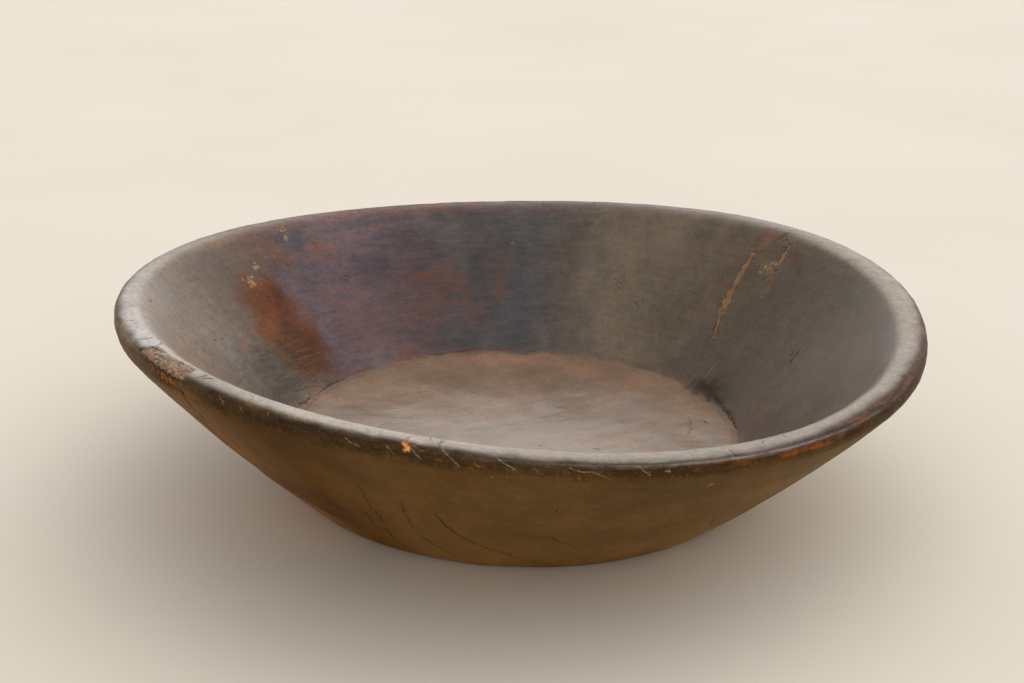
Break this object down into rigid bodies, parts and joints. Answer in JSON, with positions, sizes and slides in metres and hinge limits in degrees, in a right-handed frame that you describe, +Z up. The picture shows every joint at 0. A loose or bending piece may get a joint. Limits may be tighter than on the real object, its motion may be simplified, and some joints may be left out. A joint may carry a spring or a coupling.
{
  "type": "dough bowl",
  "caption": "Wide, shallow dough bowl worked from a single block of lacquered wood, with a flat floor, flared walls, a rounded rim and old repairs in its cracks.",
  "frame": {"origin": "under the middle of the bowl, on the plane of its flat underside", "axes": "+Z up out of the bowl, +X along the grain and the longer way across the rim"},
  "size_m": [0.5461, 0.534, 0.1333],
  "materials": {
    "lacquered_wood": "old semi-gloss dark brown lacquer with a grey bloom, worn at the edges",
    "patch": "smooth satin reddish-brown patch",
    "crack_fill": "matt tan wood filler",
    "break_fill": "rough matt tan wood filler with bare fibres"
  },
  "bodies": {
    "root": {"bowl_body": "lacquered_wood", "rim_patch": "patch", "wall_crack_fill": "crack_fill", "wall_side_fill": "crack_fill", "rim_break_fill": "break_fill"}
  },
  "joints": []
}
